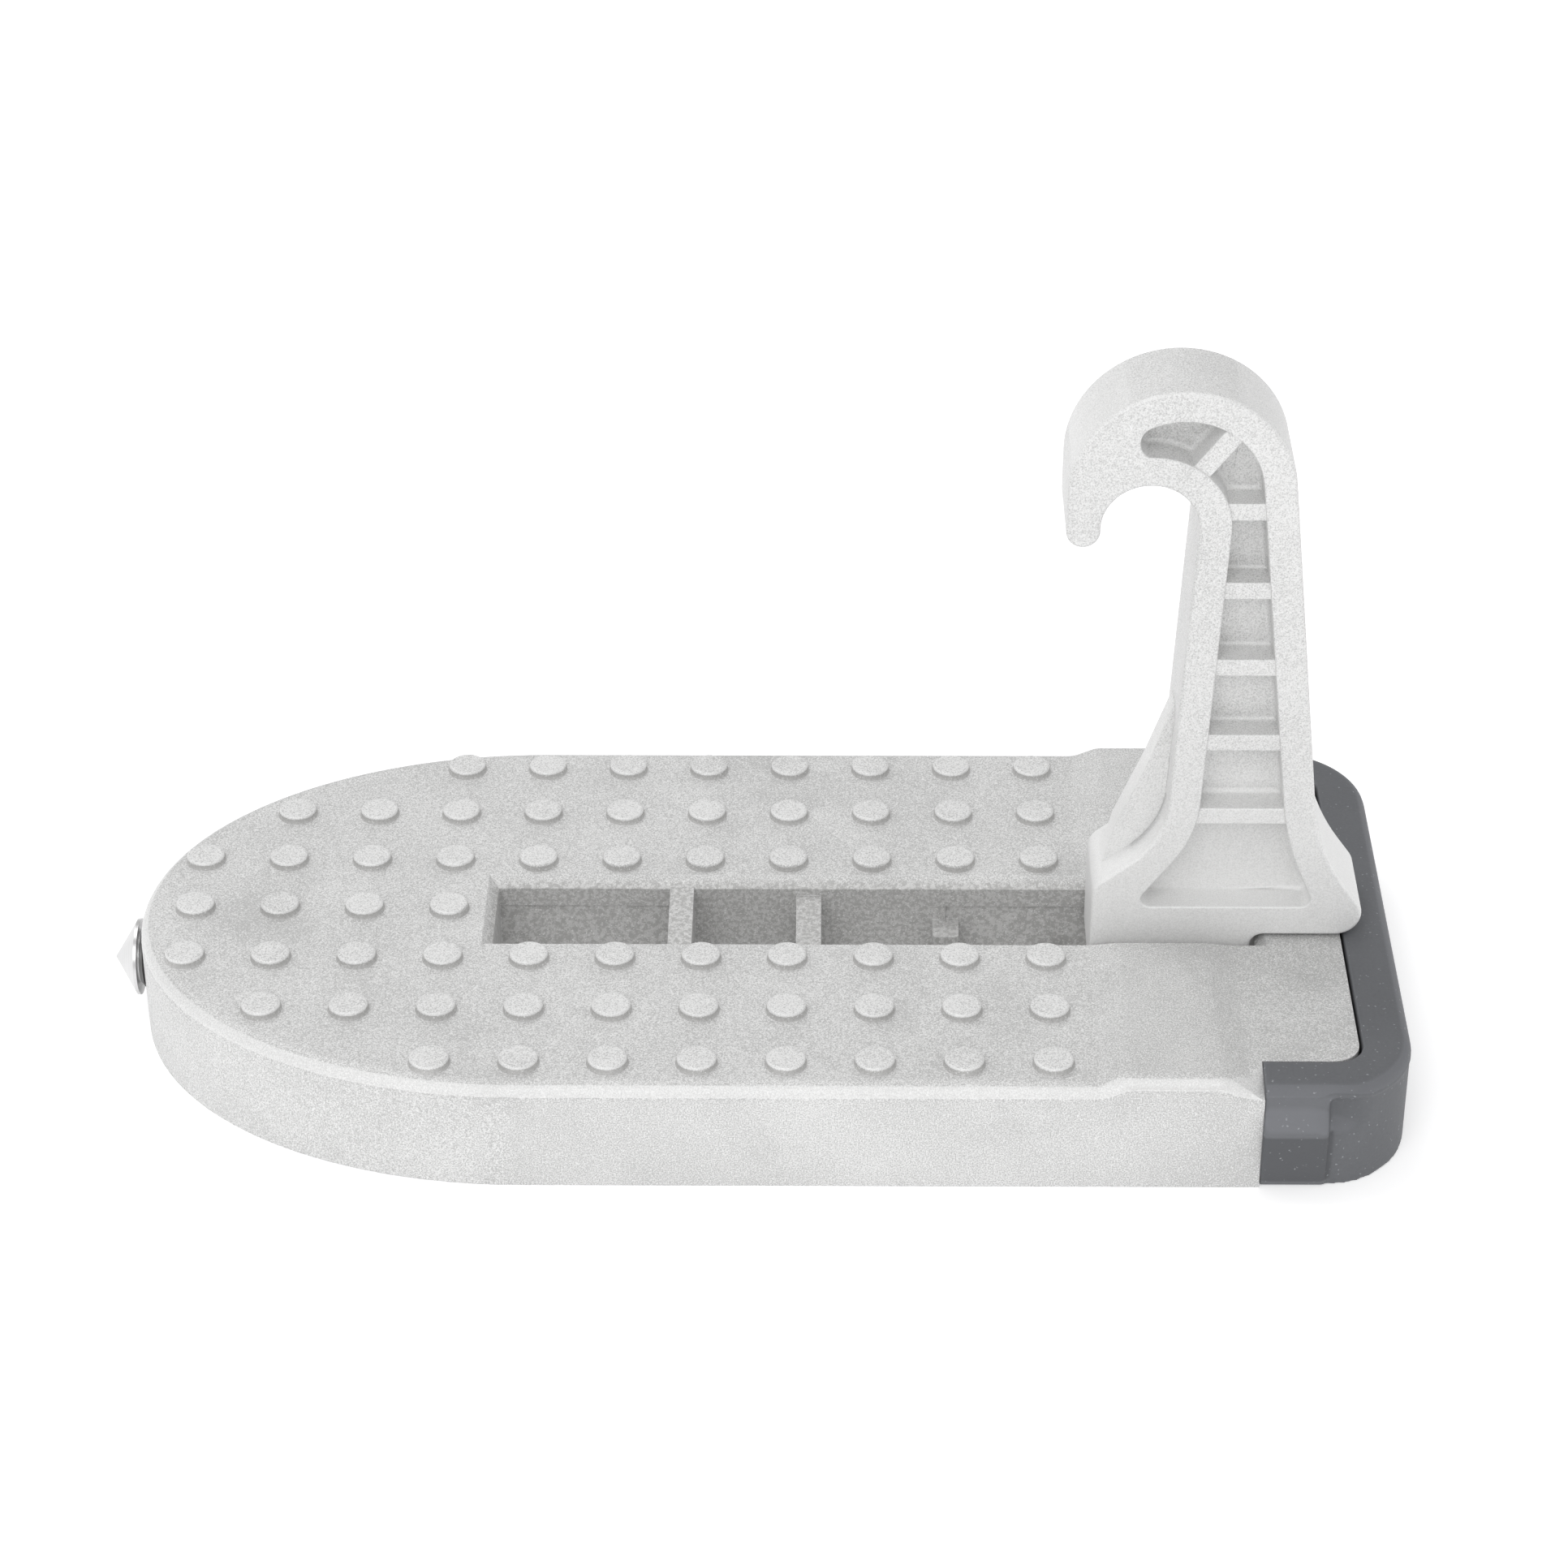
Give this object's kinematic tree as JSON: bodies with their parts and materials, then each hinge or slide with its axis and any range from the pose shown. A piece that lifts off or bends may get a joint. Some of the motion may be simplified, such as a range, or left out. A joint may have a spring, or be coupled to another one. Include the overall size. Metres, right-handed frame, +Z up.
{
  "type": "folding car door step",
  "caption": "Cast step plate with a folding hook that hangs on a door striker, raised grip studs, a rubber end bumper and a pointed breaker tip on the nose.",
  "frame": {"origin": "middle of the underside of the whole step, on the surface it stands on", "axes": "+X from the breaker tip to the bumper, +Y across the plate towards the side with the plug, +Z up out of the studded deck"},
  "size_m": [0.166, 0.0786, 0.094],
  "materials": {
    "cast_aluminium": "bead-blasted casting, fine grain",
    "cast_hook": "bead-blasted casting, fine grain",
    "steel": "ground and zinc plated",
    "dark_steel": "black oxide",
    "black_plastic": "matte",
    "rubber": "matte, lightly speckled",
    "hard_steel": "turned and polished"
  },
  "bodies": {
    "step": {"step_plate": "cast_aluminium", "pivot_pin": "steel", "grub_screw": "dark_steel", "pin_hole_plug": "black_plastic", "bumper": "rubber", "bumper_screws": "steel", "breaker_tip": "hard_steel"},
    "hook": {"hook": "cast_hook"}
  },
  "joints": [
    {"name": "hook_fold", "type": "hinge", "parent": "step", "child": "hook", "pos_m": [0.05115, 0, 0.01065], "axis": [0, -1, 0], "range_deg": [0, 87.5]}
  ]
}
